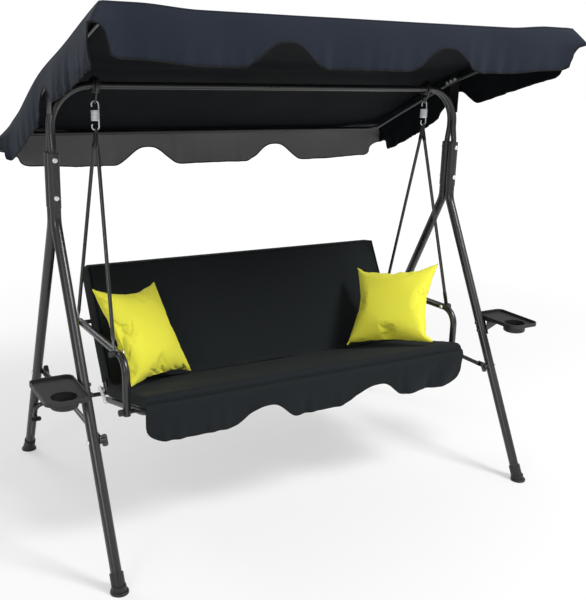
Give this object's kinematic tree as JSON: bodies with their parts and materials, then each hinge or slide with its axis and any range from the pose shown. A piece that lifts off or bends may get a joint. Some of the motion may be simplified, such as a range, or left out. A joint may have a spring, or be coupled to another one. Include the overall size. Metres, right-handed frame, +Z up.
{
  "type": "porch swing seat",
  "caption": "Garden swing seat: padded bench hung on springs and rods under an A-frame stand, with side trays and a tilting scalloped canopy.",
  "frame": {"origin": "on the floor, midway between the four feet", "axes": "+X to the right of a person facing the seat, +Y to the back, +Z up"},
  "size_m": [1.916, 1.1579, 1.663],
  "materials": {
    "black_steel": "semi-gloss powder coat, charcoal black",
    "zinc": "bright zinc plating",
    "black_plastic": "moulded black polypropylene, fine grain",
    "saddle_nylon": "black nylon",
    "woven_sling": "black woven mesh",
    "cushion_fabric": "black polyester, fine weave",
    "pillow_fabric": "bright yellow polyester, fine weave",
    "canopy_fabric": "navy-black coated polyester"
  },
  "bodies": {
    "frame": {"leg_front_left_lower": "black_steel", "leg_front_left_upper": "black_steel", "leg_rear_left_lower": "black_steel", "leg_rear_left_upper": "black_steel", "leg_front_right_lower": "black_steel", "leg_front_right_upper": "black_steel", "leg_rear_right_lower": "black_steel", "leg_rear_right_upper": "black_steel", "foot_caps": "black_plastic", "leg_socket_left": "black_steel", "leg_socket_right": "black_steel", "socket_bushes": "black_plastic", "socket_bolts": "zinc", "beam_sleeves": "black_steel", "beam_front_left": "black_steel", "beam_front_right": "black_steel", "beam_rear_left": "black_steel", "beam_rear_right": "black_steel", "beam_bolts": "black_steel", "beam_saddles": "saddle_nylon", "side_brace_left": "black_steel", "side_brace_right": "black_steel", "rear_crossbar": "black_steel", "brace_bolts": "zinc", "wing_knobs": "black_plastic", "side_tray_left": "black_plastic", "side_tray_right": "black_plastic", "tray_brackets": "black_steel", "tray_bolts": "zinc", "canopy_bracket_left": "black_steel", "canopy_bracket_right": "black_steel"},
    "hangers": {"hanger_loop_left": "black_steel", "hanger_loop_right": "black_steel"},
    "springs": {"spring_left": "zinc", "spring_right": "zinc"},
    "seat": {"hanging_rod_front_left": "black_steel", "hanging_rod_front_right": "black_steel", "hanging_rod_rear_left": "black_steel", "hanging_rod_rear_right": "black_steel", "armrest_left": "black_steel", "armrest_right": "black_steel", "seat_frame": "black_steel", "back_frame": "black_steel", "hinge_plates": "zinc", "seat_bolts": "zinc", "arm_knobs": "black_plastic", "arm_spacers": "zinc", "seat_sling": "woven_sling", "back_sling": "woven_sling", "seat_cushion": "cushion_fabric", "back_cushion": "cushion_fabric", "seat_valance": "cushion_fabric", "pillow_left": "pillow_fabric", "pillow_right": "pillow_fabric"},
    "canopy": {"canopy_tube_front": "black_steel", "canopy_tube_rear": "black_steel", "canopy_tube_left": "black_steel", "canopy_tube_right": "black_steel", "canopy_bolts": "zinc", "canopy_cover": "canopy_fabric"}
  },
  "joints": [
    {"name": "swing", "type": "hinge", "parent": "frame", "child": "hangers", "pos_m": [0, 0, 1.449], "axis": [1, 0, 0], "range_deg": [-16, 16]},
    {"name": "spring_bounce", "type": "slide", "parent": "hangers", "child": "springs", "axis": [0, 0, -1], "range_m": [0, 0.025], "stiffness_N_per_m": 60000, "springref_m": -0.008, "deforming": ["spring_left", "spring_right"]},
    {"name": "seat_tilt", "type": "hinge", "parent": "springs", "child": "seat", "pos_m": [0, 0, 1.3075], "axis": [1, 0, 0], "range_deg": [-8, 8]},
    {"name": "canopy_tilt", "type": "hinge", "parent": "frame", "child": "canopy", "pos_m": [0, 0, 1.478], "axis": [1, 0, 0], "range_deg": [-5, 30]}
  ]
}
